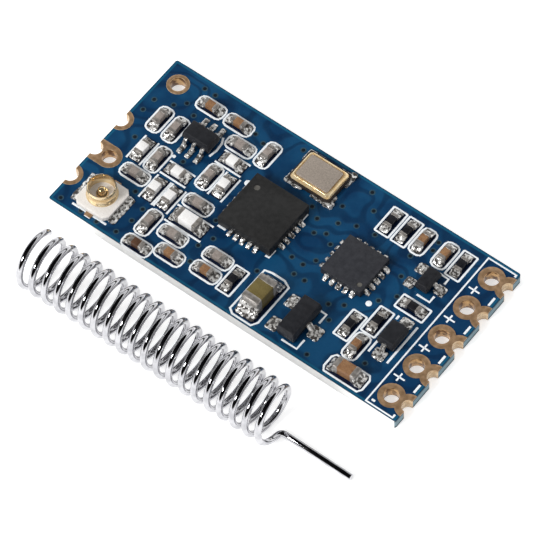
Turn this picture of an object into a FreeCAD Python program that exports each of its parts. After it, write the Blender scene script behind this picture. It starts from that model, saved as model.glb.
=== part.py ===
import FreeCAD, Part
import math
import os
from FreeCAD import Vector

# Wireless serial module: a two-sided circuit board with surface-mount parts on its upper face,
# and its spring antenna lying loose in front of it. Millimetres, +X to the pin row, +Z up.
# The origin is the middle of the board's underside, which lies on z = 0.

# Pin row, on the edge at +X: a drilled land and a half hole in the edge beside each pin
pin_count = 5
pin_pitch = 2.54
pin_margin = 0.05          # board past the row's outer half pitches
pin_inset = 1.25
pin_hole = 1.0
pin_land = 1.7
edge_hole = 0.85

# Board, as wide as its pin row
board_length = 26.6
board_width = pin_count * pin_pitch + 2 * pin_margin
board_thickness = 0.8
board_corner = 0.15
copper = 0.05              # thickness of the lands let into its top, and of the plating in holes
rim_sides = 16             # flats round the outside of a land, and of its plating
drawn_board = (26.6, 12.8)  # the board that the places below are drawn on

# Antenna end, at -X
antenna_hole = 1.0
antenna_land = 1.5
antenna_inset = 1.23
antenna_side_inset = 1.43
feed_hole = 0.96
feed_land = 1.66
feed_inset = 1.13
feed_place_y = -1.8
notch_hole = 1.0
notch_land = 1.6
notch_places_y = [0.8, -4.22]

# Spring antenna: one wire, wound round an axis along X, with a straight leg
wire_diameter = 0.45
coil_diameter = 4.0        # over the wire
coil_pitch = 0.957
coil_turns = 19
coil_start_angle = 20.0    # degrees from +Y towards +Z
coil_end_angle = 262.0     # in the last, part turn
leg_length = 4.86
leg_bend = 0.38            # radius of the wire's middle line
antenna_gap = 2.42         # from the board's long edge to the coil
coil_inset = 2.53          # from the board's antenna end to the wire's free end
wire_sides = 6
steps_per_turn = 16
steps_in_bend = 4

# Coaxial socket
socket_place = (-10.51, -4.5)
socket_side = 2.6
socket_chamfer = 0.3
socket_height = 1.25
socket_floor = 0.45
socket_strip = 0.1         # sheet that the contact and the ground tabs are cut from
ring_diameter = 2.05
ring_wall = 0.13
ring_lip = 0.07
contact_pin = 0.36
contact_height = 0.85
contact_taper = 0.08
contact_width = 0.6
contact_reach = 0.3        # past each side of the housing
tab_length = 2.2
tab_reach = 0.45
tab_height = 0.18

# Crystal
crystal_place = (-0.69, 4.63)
crystal_length = 3.2
crystal_width = 2.5
crystal_base_height = 0.42
crystal_ring_height = 0.12
crystal_lid_height = 0.08
crystal_ring_inset = 0.13
crystal_lid_inset = 0.16
crystal_pad_length = 1.15
crystal_pad_width = 0.95
crystal_pad_reach = 0.1

# Flat packages with lands on four sides
radio_chip = dict(side=4.0, height=0.85, pitch=0.5, per_side=5, place=(-1.71, 0.3))
controller_chip = dict(side=3.0, height=0.6, pitch=0.5, per_side=5, place=(4.95, 0.75))
flat_gap = 0.05            # height of the lands under a flat package
flat_land_width = 0.27
flat_land_under = 0.35
flat_land_reach = 0.42
flat_fillet_height = 0.2
flat_dimple = 0.44
flat_dimple_depth = 0.03
flat_dimple_inset = 0.62
flat_centre_share = 0.6

# Moulded packages with bent leads: body along X by body across Y, before it is turned
radio_switch = dict(length=2.1, width=1.25, height=0.95, span=2.75, lead=0.24, pad=0.34,
                    front=(-0.65, 0.0, 0.65), back=(-0.65, 0.0, 0.65), place=(-8.27, 2.47), turn=0)
regulator = dict(length=2.9, width=1.35, height=1.1, span=2.9, lead=0.42, pad=0.95,
                 front=(0.0,), back=(-0.95, 0.95), place=(4.6, -4.37), turn=90)
transistor = dict(length=2.0, width=1.25, height=0.95, span=2.2, lead=0.3, pad=0.72,
                  front=(0.0,), back=(-0.62, 0.62), place=(9.17, 2.52), turn=90)
diode = dict(length=1.25, width=1.7, height=0.95, span=3.1, lead=0.34, pad=0.84,
             front=(0.0,), back=(0.0,), place=(9.8, -1.92), turn=0)
mould_draft = 0.1
mould_gap = 0.06           # clear height under a moulded body
lead_thickness = 0.13
lead_root = 0.12           # length held in the moulding
lead_shoulder = 0.14
pad_height = 0.05
pad_reach = 0.12           # solder past the lead's toe

# Two-ended chips; the end caps stand out by the skin, and the solder runs out past them
small_capacitor = dict(length=1.0, width=0.52, height=0.5, cap=0.25, skin=0.015, solder=0.34)
small_resistor = dict(length=1.0, width=0.5, height=0.35, cap=0.22, skin=0.01, solder=0.34)
small_inductor = dict(length=1.0, width=0.6, height=0.5, cap=0.2, skin=0.012, solder=0.32)
long_inductor = dict(length=1.6, width=0.85, height=0.72, cap=0.3, skin=0.02, solder=0.4)
middle_capacitor = dict(length=1.6, width=0.82, height=0.8, cap=0.35, skin=0.02, solder=0.38)
large_capacitor = dict(length=2.0, width=1.27, height=1.25, cap=0.5, skin=0.02, solder=0.5)
solder_rise = 0.55         # solder height at the end cap, as a share of the chip's height
solder_toe = 0.04
solder_side = 0.04         # solder past the chip's sides

# Placement: kind, then (x, y) of each piece, along X and along Y
placed_along_x = [
    ("capacitor", small_capacitor, [(-9.33, 4.82), (-7.14, 4.82), (-10.08, -1.87), (-6.75, -5.85),
                                    (-6.06, 3.6), (-5.55, -1.32), (-5.42, -4.0), (-4.73, -5.2),
                                    (-2.2, -3.65), (-2.2, -4.87)]),
    ("inductor", small_inductor, [(-7.96, -0.3), (-5.71, 2.34)]),
    ("long_inductor", long_inductor, [(-5.19, -2.7)]),
    ("resistor", small_resistor, [(9.46, 0.56)]),
    ("supply_capacitor", middle_capacitor, [(9.0, -5.43)]),
]
placed_along_y = [
    ("capacitor", small_capacitor, [(-11.36, 2.22), (-10.1, 2.2), (-9.62, -0.18), (-7.21, -4.13),
                                    (-4.33, 4.1), (-6.26, 0.7), (7.13, 4.73), (8.8, 4.73),
                                    (8.31, -3.6)]),
    ("inductor", small_inductor, [(-10.8, -0.2), (-8.39, -2.02), (-7.23, -2.0), (-5.08, 0.66)]),
    ("resistor", small_resistor, [(-0.51, -4.37), (4.72, 4.72), (5.93, 4.72), (10.03, 4.72),
                                  (8.31, -1.46), (7.13, -2.64)]),
    ("reservoir_capacitor", large_capacitor, [(1.64, -4.4)]),
]

# Places worked out from the sizes
half_length = board_length / 2
half_width = board_width / 2
pin_x = half_length - pin_inset
pin_rows = [pin_pitch * (k - (pin_count - 1) / 2) for k in range(pin_count)]
spread_x = board_length / drawn_board[0]
spread_y = board_width / drawn_board[1]
antenna_y = half_width - antenna_side_inset
feed_y = feed_place_y * spread_y
notch_rows = [y * spread_y for y in notch_places_y]
land_bottom = board_thickness - copper


def box(length, width, height, x=0.0, y=0.0, z=0.0):
    """A box centred on (x, y), standing on z."""
    return Part.makeBox(length, width, height, Vector(x - length / 2, y - width / 2, z))


def drum(diameter, x, y, bottom=0.0, top=board_thickness):
    """A round post or drill."""
    return Part.makeCylinder(diameter / 2, top - bottom, Vector(x, y, bottom))


def plate(points, bottom, height):
    """A flat outline in X and Y, raised along Z."""
    outline = Part.makePolygon([Vector(x, y, bottom) for x, y in points + points[:1]])
    return Part.Face(outline).extrude(Vector(0, 0, height))


def rim(diameter, x, y, bottom=0.0):
    """A many-sided drum, up to the board's top, that copper fills between the board and a hole."""
    corners = [(x + diameter / 2 * math.cos(a), y + diameter / 2 * math.sin(a))
               for a in [2 * math.pi * k / rim_sides for k in range(rim_sides)]]
    return plate(corners, bottom, board_thickness - bottom)


def rail(profile, width):
    """An outline in X and Z, run along Y, centred on it."""
    outline = Part.makePolygon([Vector(x, -width / 2, z) for x, z in profile + profile[:1]])
    return Part.Face(outline).extrude(Vector(0, width, 0))


def joined(shapes):
    whole = shapes[0]
    if len(shapes) > 1:
        whole = whole.fuse(shapes[1:]).removeSplitter()
    return whole


def set_down(shape, place, turn=0.0, height=board_thickness):
    """Turns a piece drawn at the origin, and sets it at its place in the layout."""
    piece = shape.copy()
    piece.rotate(Vector(0, 0, 0), Vector(0, 0, 1), turn)
    piece.translate(Vector(place[0] * spread_x, place[1] * spread_y, height))
    return piece


def board_blank():
    blank = box(board_length, board_width, board_thickness)
    uprights = [e for e in blank.Edges if abs(e.tangentAt(e.FirstParameter).z) > 0.99]
    return blank.makeFillet(board_corner, uprights)


def pin_pad(y):
    """Land and drilled holes of one pin: a whole hole, and a half hole in the board's edge."""
    land = [rim(pin_land, x, y, land_bottom) for x in (pin_x, half_length)]
    return land, [(pin_x, y, pin_hole), (half_length, y, edge_hole)]


def antenna_eyelet():
    x = antenna_inset - half_length
    return [rim(antenna_land, x, antenna_y, land_bottom)], [(x, antenna_y, antenna_hole)]


def feed_pad():
    x = feed_inset - half_length
    run = box(feed_inset, feed_land, copper, x - feed_inset / 2, feed_y, land_bottom)
    land = [rim(feed_land, x, feed_y, land_bottom), run]
    return land, [(x, feed_y, feed_hole), (-half_length, feed_y, notch_hole)]


def notch_pad(y):
    return [rim(notch_land, -half_length, y, land_bottom)], [(-half_length, y, notch_hole)]


def plated(land, holes):
    """A copper land in the board's upper face, and the plating of each of its holes."""
    barrels = [rim(hole + 2 * copper, x, y) for x, y, hole in holes]
    pad = joined(land + barrels).common(board_blank())
    for x, y, hole in holes:
        pad = pad.cut(drum(hole, x, y))
    return pad


def board_and_pads():
    """The glass-fibre board, with a seat for each plated land, and the lands by name."""
    groups = {"header_pads": [pin_pad(y) for y in pin_rows],
              "notch_pads": [notch_pad(y) for y in notch_rows],
              "antenna_eyelet": [antenna_eyelet()],
              "feed_pad": [feed_pad()]}
    board = board_blank()
    parts = {}
    for name, group in groups.items():
        pads = [plated(land, holes) for land, holes in group]
        for (land, holes), pad in zip(group, pads):
            for x, y, hole in holes:
                board = board.cut(drum(hole, x, y))
            board = board.cut(pad)
        parts[name] = Part.makeCompound(pads) if len(pads) > 1 else pads[0]
    parts["circuit_board"] = board
    return parts


def two_ended_chip(kind):
    """A ceramic block with a metal cap round each end, and solder running out over its land."""
    length, width, height = kind["length"], kind["width"], kind["height"]
    skin, cap = kind["skin"], kind["cap"]
    shapes = [box(length - cap, width - 2 * skin, height - 2 * skin, z=skin)]
    for side in (-1, 1):
        end = side * length / 2
        toe = end + side * kind["solder"]
        shapes.append(box(cap, width, height, side * (length - cap) / 2))
        shapes.append(rail([(end, 0), (toe, 0), (toe, solder_toe), (end, height * solder_rise)],
                           width + 2 * solder_side))
    return joined(shapes)


def flat_package(kind):
    """A square body that stands on its lands, with solder drawn up its sides."""
    side = kind["side"]
    body = box(side, side, kind["height"] - flat_gap, z=flat_gap)
    dimple_at = side / 2 - flat_dimple_inset
    body = body.cut(drum(flat_dimple, -dimple_at, dimple_at,
                         kind["height"] - flat_dimple_depth, kind["height"]))
    half = side / 2
    profile = [(half - flat_land_under, 0), (half + flat_land_reach, 0), (half, flat_fillet_height),
               (half, flat_gap), (half - flat_land_under, flat_gap)]
    land = rail(profile, flat_land_width)
    lands = [box(side * flat_centre_share, side * flat_centre_share, flat_gap)]
    for quarter in range(4):
        for k in range(kind["per_side"]):
            one = land.copy()
            one.translate(Vector(0, kind["pitch"] * (k - (kind["per_side"] - 1) / 2), 0))
            one.rotate(Vector(0, 0, 0), Vector(0, 0, 1), 90 * quarter)
            lands.append(one)
    return body, Part.makeCompound(lands)


def bent_lead(kind):
    """A bent lead on its soldered pad, leaving the body towards +X before it is turned."""
    waist = mould_gap + (kind["height"] - mould_gap) / 2
    start = kind["width"] / 2 - lead_root
    shoulder = kind["width"] / 2 + lead_shoulder
    toe = kind["span"] / 2
    ankle = shoulder + (toe - shoulder) * 0.35
    half = lead_thickness / 2
    foot = pad_height + lead_thickness
    lead = rail([(start, waist - half), (shoulder - half, waist - half), (ankle - half, pad_height),
                 (toe, pad_height), (toe, foot), (ankle + half, foot),
                 (shoulder + half, waist + half), (start, waist + half)], kind["lead"])
    pad_start = ankle - 2 * lead_thickness
    pad_end = toe + pad_reach
    pad = box(pad_end - pad_start, kind["pad"], pad_height, (pad_start + pad_end) / 2)
    return joined([lead, pad])


def moulded_package(kind):
    """A drafted moulded body, widest at its waist, and the leads that come out of it."""
    sections = []
    waist = mould_gap + (kind["height"] - mould_gap) / 2
    for z, draft in ((mould_gap, mould_draft), (waist, 0.0), (kind["height"], mould_draft)):
        x, y = kind["length"] / 2 - draft, kind["width"] / 2 - draft
        corners = [Vector(x, y, z), Vector(-x, y, z), Vector(-x, -y, z), Vector(x, -y, z)]
        sections.append(Part.makePolygon(corners + corners[:1]))
    body = Part.makeLoft(sections, True, True)
    lead = bent_lead(kind)
    leads = []
    for side, turn in (("front", -90), ("back", 90)):
        for along in kind[side]:
            one = lead.copy()
            one.rotate(Vector(0, 0, 0), Vector(0, 0, 1), turn)
            one.translate(Vector(along, 0, 0))
            leads.append(one)
    for one in leads:
        body = body.cut(one)
    return body, Part.makeCompound(leads)


def coaxial_socket():
    """Housing, shell ring, centre contact and ground tabs of the small coaxial socket."""
    half, cut = socket_side / 2, socket_chamfer
    outline = [(half, half - cut), (half - cut, half), (cut - half, half), (-half, half - cut),
               (-half, cut - half), (cut - half, -half), (half - cut, -half), (half, cut - half)]
    housing = plate(outline, socket_strip, socket_floor - socket_strip)
    strip = box(contact_width, socket_side + 2 * contact_reach, socket_strip)
    pin = drum(contact_pin, 0, 0, 0, contact_height - contact_taper)
    tip = Part.makeCone(contact_pin / 2, contact_pin / 2 - contact_taper, contact_taper,
                        Vector(0, 0, contact_height - contact_taper))
    contact = joined([strip, pin, tip])
    housing = housing.cut(pin)

    outer = ring_diameter / 2
    inner = outer - ring_wall
    rise = socket_height - socket_floor
    profile = [(inner, 0), (outer, 0), (outer, 0.2 * rise), (outer - ring_lip, 0.5 * rise),
               (outer, 0.8 * rise), (outer - ring_lip / 2, rise), (inner, rise - ring_lip)]
    points = [Vector(r, 0, socket_floor + z) for r, z in profile + profile[:1]]
    ring = Part.Face(Part.makePolygon(points)).revolve(Vector(0, 0, 0), Vector(0, 0, 1), 360)

    tabs = []
    for side in (-1, 1):
        inside, outside = side * half, side * (half + tab_reach)
        profile = [(inside, 0), (outside, 0), (outside, solder_toe), (inside, tab_height)]
        tabs.append(rail(profile, tab_length))
    return housing, ring, contact, Part.makeCompound(tabs)


def crystal():
    """Ceramic base on four soldered pads, under a stepped metal lid."""
    base = box(crystal_length, crystal_width, crystal_base_height, z=flat_gap)
    top = flat_gap + crystal_base_height
    ring = box(crystal_length - 2 * crystal_ring_inset, crystal_width - 2 * crystal_ring_inset,
               crystal_ring_height, z=top)
    inset = crystal_ring_inset + crystal_lid_inset
    lid = box(crystal_length - 2 * inset, crystal_width - 2 * inset, crystal_lid_height,
              z=top + crystal_ring_height)
    pads = []
    for x in (-1, 1):
        for y in (-1, 1):
            middle_x = crystal_length / 2 + crystal_pad_reach - crystal_pad_length / 2
            middle_y = crystal_width / 2 + crystal_pad_reach - crystal_pad_width / 2
            pads.append(box(crystal_pad_length, crystal_pad_width, flat_gap, x * middle_x, y * middle_y))
    return base, joined([ring, lid]), Part.makeCompound(pads)


def wire_section(middle, heading, outward):
    """The wire's outline across its heading, with one corner on the outward side."""
    beside = heading.cross(outward)
    radius = wire_diameter / 2
    corners = []
    for k in range(wire_sides):
        angle = 2 * math.pi * k / wire_sides
        corners.append(middle + outward * radius * math.cos(angle) + beside * radius * math.sin(angle))
    return Part.makePolygon(corners + corners[:1])


def spring_antenna():
    """One wire: a coil about an axis along X, a bend out of its last turn, and a straight leg."""
    radius = (coil_diameter - wire_diameter) / 2
    start = math.radians(coil_start_angle)
    sweep = 2 * math.pi * coil_turns + math.radians(coil_end_angle) - start
    climb = coil_pitch / (2 * math.pi)
    steps = round(sweep / (2 * math.pi) * steps_per_turn)
    forward = Vector(1, 0, 0)
    sections = []
    for k in range(steps + 1):
        turned = sweep * k / steps
        outward = Vector(0, math.cos(start + turned), math.sin(start + turned))
        around = forward.cross(outward)
        heading = (forward * climb + around * radius).normalize()
        middle = forward * climb * turned + outward * radius
        sections.append(wire_section(middle, heading, outward))

    # The bend turns the wire from its last heading into X, about the coil's last radius
    lean = math.atan2(radius, climb)
    for k in range(1, steps_in_bend + 1):
        left = lean * (1 - k / steps_in_bend)
        heading = forward * math.cos(left) + around * math.sin(left)
        moved = forward * (math.sin(lean) - math.sin(left)) + around * (math.cos(left) - math.cos(lean))
        bent = middle + moved * leg_bend
        sections.append(wire_section(bent, heading, outward))
    sections.append(wire_section(bent + forward * leg_length, heading, outward))

    # It lies on the ground in front of the board, along the board's edge
    wire = Part.makeLoft(sections, True, True)
    lowest = min(corner.Z for corner in wire.Vertexes)
    axis_y = -half_width - antenna_gap - coil_diameter / 2
    wire.translate(Vector(coil_inset - half_length, axis_y, -lowest))
    return wire


def build():
    parts = board_and_pads()
    names = ("socket_housing", "socket_shell", "socket_contact", "socket_ground_tabs")
    for name, shape in zip(names, coaxial_socket()):
        parts[name] = set_down(shape, socket_place)
    for name, shape in zip(("crystal_base", "crystal_lid", "crystal_pads"), crystal()):
        parts[name] = set_down(shape, crystal_place)
    for name, kind in (("radio_chip", radio_chip), ("controller_chip", controller_chip)):
        body, lands = flat_package(kind)
        parts[name] = set_down(body, kind["place"])
        parts[name + "_lands"] = set_down(lands, kind["place"])
    for name, kind in (("radio_switch", radio_switch), ("regulator", regulator),
                       ("transistor", transistor), ("diode", diode)):
        body, leads = moulded_package(kind)
        parts[name] = set_down(body, kind["place"], kind["turn"])
        parts[name + "_leads"] = set_down(leads, kind["place"], kind["turn"])

    counts = {}
    for group, turn in ((placed_along_x, 0), (placed_along_y, 90)):
        for name, kind, places in group:
            chip = two_ended_chip(kind)
            for place in places:
                counts[name] = counts.get(name, 0) + 1
                parts["%s_%d" % (name, counts[name])] = set_down(chip, place, turn)
    parts["spring_antenna"] = spring_antenna()
    return parts


os.makedirs("parts", exist_ok=True)
for node, solid in build().items():
    solid.exportStep("parts/%s.step" % node)
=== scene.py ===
import bpy
import bmesh
import math
import random
from contextlib import contextmanager
from mathutils import Matrix, Vector


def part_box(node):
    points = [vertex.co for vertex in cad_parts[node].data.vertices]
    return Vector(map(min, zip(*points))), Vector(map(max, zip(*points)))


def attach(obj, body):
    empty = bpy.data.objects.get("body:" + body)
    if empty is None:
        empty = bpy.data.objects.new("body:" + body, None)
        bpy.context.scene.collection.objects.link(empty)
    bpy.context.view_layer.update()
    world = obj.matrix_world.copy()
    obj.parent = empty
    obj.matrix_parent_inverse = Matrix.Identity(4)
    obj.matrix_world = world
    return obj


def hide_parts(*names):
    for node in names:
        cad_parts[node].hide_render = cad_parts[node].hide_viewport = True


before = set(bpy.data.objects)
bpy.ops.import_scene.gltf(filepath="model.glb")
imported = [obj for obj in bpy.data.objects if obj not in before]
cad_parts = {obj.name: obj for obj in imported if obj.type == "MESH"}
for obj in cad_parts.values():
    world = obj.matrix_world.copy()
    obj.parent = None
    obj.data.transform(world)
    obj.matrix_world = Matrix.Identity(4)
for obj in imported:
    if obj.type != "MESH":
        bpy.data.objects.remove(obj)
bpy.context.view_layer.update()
print("frame loaded:", len(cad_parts), "nodes")

# Everything is modelled in millimetres, and brought to metres when it is done
mm = 0.001
boardTop = 0.8
boardHalf = (13.3, 6.4)
dice = random.Random(41)


# Working in object and edit mode

def deselectAll():
    if bpy.context.object and bpy.context.object.mode != "OBJECT":
        bpy.ops.object.mode_set(mode="OBJECT")
    bpy.ops.object.select_all(action="DESELECT")


def activate(obj):
    deselectAll()
    obj.select_set(True)
    bpy.context.view_layer.objects.active = obj


def freeze(obj):
    activate(obj)
    bpy.ops.object.transform_apply(location=True, rotation=True, scale=True)
    return obj


def setDown(obj, x, y, z=boardTop, turn=0.0):
    obj.location = (x, y, z)
    obj.rotation_euler = (0, 0, math.radians(turn))
    return freeze(obj)


def newest(name):
    bpy.context.object.name = name
    return freeze(bpy.context.object)


def addBlock(name, size, middle):
    deselectAll()
    bpy.ops.mesh.primitive_cube_add(size=1, location=middle, scale=size)
    return newest(name)


def addDrum(name, radius, bottom, top, x=0.0, y=0.0, sides=48):
    deselectAll()
    bpy.ops.mesh.primitive_cylinder_add(vertices=sides, radius=radius, depth=top - bottom,
                                        location=(x, y, (top + bottom) / 2))
    return newest(name)


@contextmanager
def editing(obj):
    activate(obj)
    bpy.ops.object.mode_set(mode="EDIT")
    yield
    bpy.ops.object.mode_set(mode="OBJECT")


def select(obj, kind, test):  # kind is VERT, EDGE or FACE; test gets its middle and the element
    bpy.ops.mesh.select_mode(type=kind)
    bpy.ops.mesh.select_all(action="DESELECT")
    mesh = bmesh.from_edit_mesh(obj.data)
    for item in {"VERT": mesh.verts, "EDGE": mesh.edges, "FACE": mesh.faces}[kind]:
        if kind == "VERT":
            middle = item.co
        else:
            middle = sum((corner.co for corner in item.verts), Vector()) / len(item.verts)
        if test(middle, item):
            item.select_set(True)
    mesh.select_flush_mode()
    bmesh.update_edit_mesh(obj.data)


def selectUpper(obj):  # the faces that look up
    select(obj, "FACE", lambda at, item: item.normal.z > 0.99)


def selectRising(obj):  # the edges that aren't level
    select(obj, "EDGE", lambda at, item: abs((item.verts[0].co - item.verts[1].co).z) > 0.01)


def selectAll():
    bpy.ops.mesh.select_all(action="SELECT")


def faceOutwards():
    selectAll()
    bpy.ops.mesh.normals_make_consistent(inside=False)


def drawOut(x, y, z):  # the selected edges, into new faces
    bpy.ops.mesh.extrude_edges_move(TRANSFORM_OT_translate={"value": (x, y, z)})


def modify(obj, kind, **settings):
    activate(obj)
    modifier = obj.modifiers.new(kind.title(), kind)
    for setting, value in settings.items():
        setattr(modifier, setting, value)
    bpy.ops.object.modifier_apply(modifier=modifier.name)
    return obj


def rounded(obj, width, segments=2, angle=40):
    return modify(obj, "BEVEL", width=width, segments=segments, limit_method="ANGLE",
                  angle_limit=math.radians(angle), use_clamp_overlap=True)


def smoothed(obj, levels):
    return modify(obj, "SUBSURF", levels=levels, render_levels=levels)


def carve(obj, tool, operation="DIFFERENCE"):
    modify(obj, "BOOLEAN", object=tool, operation=operation, solver="EXACT")
    bpy.data.objects.remove(tool, do_unlink=True)
    return obj


def copyOf(obj, place=(0, 0, 0), turn=0.0):
    one = obj.copy()
    one.data = obj.data.copy()
    bpy.context.collection.objects.link(one)
    return setDown(one, *place, turn)


def joinAll(objects):
    activate(objects[0])
    for obj in objects:
        obj.select_set(True)
    bpy.ops.object.join()
    return objects[0]


def discard(*objects):
    for obj in objects:
        bpy.data.objects.remove(obj, do_unlink=True)


def paint(obj, *names):  # the first finish for the whole piece, the others for repaint
    obj.data.materials.clear()
    for name in names:
        obj.data.materials.append(finishes[name])
    return obj


def repaint(obj, index):
    obj.active_material_index = index
    bpy.ops.object.material_slot_assign()


def table(columns, rows):  # each row a dictionary, with the columns' names as its keys
    return {name: dict(zip(columns.split(), row)) for name, row in rows.items()}


def deliver(obj, nodes, slotName, name="", angle=35):  # named after its node, or by name
    obj.name = obj.data.name = name or nodes[0].replace("_", " ").title().replace(" ", "")
    obj.vertex_groups.clear()
    activate(obj)
    bpy.ops.object.shade_smooth_by_angle(angle=math.radians(angle))
    obj.scale = (mm, mm, mm)
    freeze(obj)
    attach(obj, "root")
    if nodes:
        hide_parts(*nodes)


def seatOf(node):  # middle in X and Y, and the turn of the longer side
    low, high = (Vector(corner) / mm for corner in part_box(node))
    middle, span = (low + high) / 2, high - low
    return middle.x, middle.y, 0 if span.x > span.y else 90


def turned(name, profile, sides):  # rings drawn out one after another, as (radius, height)
    deselectAll()
    bpy.ops.mesh.primitive_circle_add(vertices=sides, radius=profile[0][0],
                                      location=(0, 0, profile[0][1]))
    obj = newest(name)
    with editing(obj):
        bpy.ops.mesh.select_mode(type="EDGE")
        selectAll()
        for (radius, height), (nextRadius, nextHeight) in zip(profile, profile[1:]):
            drawOut(0, 0, nextHeight - height)
            widen = nextRadius / radius
            bpy.ops.transform.resize(value=(widen, widen, 1))
        if profile[0] != profile[-1]:
            bpy.ops.mesh.edge_face_add()
            select(obj, "EDGE", lambda at, item: item.is_boundary)
            bpy.ops.mesh.edge_face_add()
        selectAll()
        bpy.ops.mesh.remove_doubles(threshold=0.0005)
        faceOutwards()
    return obj


# Shader maths

def operator(operation, reflected=False):
    def apply(value, other):
        return value.finish.math(operation, *((other, value) if reflected else (value, other)))
    return apply


class Value:  # a socket that takes part in arithmetic
    def __init__(self, finish, socket):
        self.finish, self.socket = finish, socket

    def math(self, operation, *others):
        return self.finish.math(operation, self, *others)

    def __abs__(self):
        return self.math("ABSOLUTE")

    __add__, __radd__ = operator("ADD"), operator("ADD", True)
    __sub__, __rsub__ = operator("SUBTRACT"), operator("SUBTRACT", True)
    __mul__, __rmul__ = operator("MULTIPLY"), operator("MULTIPLY", True)
    __truediv__, __rtruediv__ = operator("DIVIDE"), operator("DIVIDE", True)
    __gt__, __lt__ = operator("GREATER_THAN"), operator("LESS_THAN")
    min, max = operator("MINIMUM"), operator("MAXIMUM")


def tint(red, green, blue):  # a colour as seen on a screen, 0 to 255
    linear = [c / 255 / 12.92 if c <= 10 else ((c / 255 + 0.055) / 1.055) ** 2.4
              for c in (red, green, blue)]
    return (*linear, 1.0)


class Graph:  # the nodes of a material or of the world
    def __init__(self, tree):
        self.tree = tree

    def node(self, kind, settings=None, inputs=None):
        made = self.tree.nodes.new(kind)
        for setting, value in (settings or {}).items():
            setattr(made, setting, value)
        for socket, value in (inputs or {}).items():
            self.put(made.inputs[socket], value)
        return made

    def put(self, socket, value):
        if isinstance(value, Value):
            value = value.socket
        if isinstance(value, bpy.types.NodeSocket):
            self.tree.links.new(value, socket)
        else:
            socket.default_value = value

    def math(self, operation, *values):
        made = self.node("ShaderNodeMath", {"operation": operation}, dict(enumerate(values)))
        return Value(self, made.outputs[0])

    def seenDirectly(self):  # 1 for camera, glossy and transmission rays
        path = self.node("ShaderNodeLightPath")
        camera, glossy, through = (Value(self, path.outputs[f"Is {ray} Ray"])
                                   for ray in ("Camera", "Glossy", "Transmission"))
        return camera.max(glossy).max(through)


class Finish(Graph):  # one procedural material
    def __init__(self, name, **constants):
        self.material = bpy.data.materials.new(name)
        self.material.use_nodes = True
        super().__init__(self.material.node_tree)
        self.shader = self.tree.nodes["Principled BSDF"]
        for socket, value in constants.items():
            self.shader.inputs[socket.replace("_", " ")].default_value = value
        self.coordinates = self.node("ShaderNodeTexCoord").outputs["Object"]

    def axes(self):  # place on the piece in millimetres
        split = self.node("ShaderNodeSeparateXYZ", None, {"Vector": self.coordinates})
        return [Value(self, split.outputs[axis]) * (1 / mm) for axis in "XYZ"]

    def noise(self, size, detail=2.0, roughness=0.5, stretch=(1, 1, 1)):  # size in millimetres
        placed = self.node("ShaderNodeMapping", None,
                           {"Vector": self.coordinates, "Scale": stretch})
        made = self.node("ShaderNodeTexNoise", None,
                         {"Vector": placed.outputs[0], "Scale": 1 / (size * mm),
                          "Detail": detail, "Roughness": roughness})
        return Value(self, made.outputs[0])

    def ramp(self, value, low, high):  # 0 below low, 1 above high, smooth between
        made = self.node("ShaderNodeMapRange", {"interpolation_type": "SMOOTHSTEP"},
                         {"Value": value, "From Min": low, "From Max": high})
        return Value(self, made.outputs[0])

    def blend(self, factor, first, second):
        made = self.node("ShaderNodeMix", {"data_type": "RGBA"},
                         {"Factor": factor, 6: first, 7: second})
        return made.outputs[2]

    def bump(self, height, depth):  # depth in millimetres
        made = self.node("ShaderNodeBump", None,
                         {"Height": height, "Distance": depth * mm, "Strength": 1.0})
        self.put(self.shader.inputs["Normal"], made.outputs[0])

    def finish(self, **links):
        for socket, value in links.items():
            self.put(self.shader.inputs[socket.replace("_", " ")], value)
        return self.material


# Plated lands of the pin row, and those at the antenna end as (x, y, diameter)
pinRow = {"x": 12.05, "pitch": 2.54, "land": 1.7, "hole": 1.0, "notch": 0.85}
farLands = {"eyelet": (-12.07, 4.97, 1.5), "feed": (-12.17, -1.8, 1.66),
            "feedNotch": (-13.3, -1.8, 1.6), "upperNotch": (-13.3, 0.8, 1.6),
            "lowerNotch": (-13.3, -4.22, 1.6)}

# Solder mask over copper on the faces, bare laminate on the sides, lit near white along the board
# and in painted shade at its ends, rings of the plated holes below
maskLook = {"copper": tint(14, 73, 112), "bare": tint(2, 50, 88), "channel": tint(0, 30, 62),
            "edge": tint(16, 96, 128), "rim": tint(0, 46, 80), "gold": tint(172, 142, 108),
            # laminate is the lit near-white tone of the long sides, end is the same laminate in
            # painted shade
            "laminate": tint(255, 255, 253), "end": tint(150, 176, 186), "skin": tint(34, 56, 70),
            "edgeWidth": 0.2, "edgeSoft": 0.04, "rimWidth": 0.06, "pourSize": 2.6,
            "pourEnd": 10.95, "levelSize": 4.5, "levels": 9, "channelReach": (0.08, 0.26),
            "grainSize": 0.22, "coreReach": (0.2, 0.28), "weaveSize": 0.12, "depth": 0.012}


def distance(alongX, alongY):
    return (alongX * alongX + alongY * alongY).math("SQRT")


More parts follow.
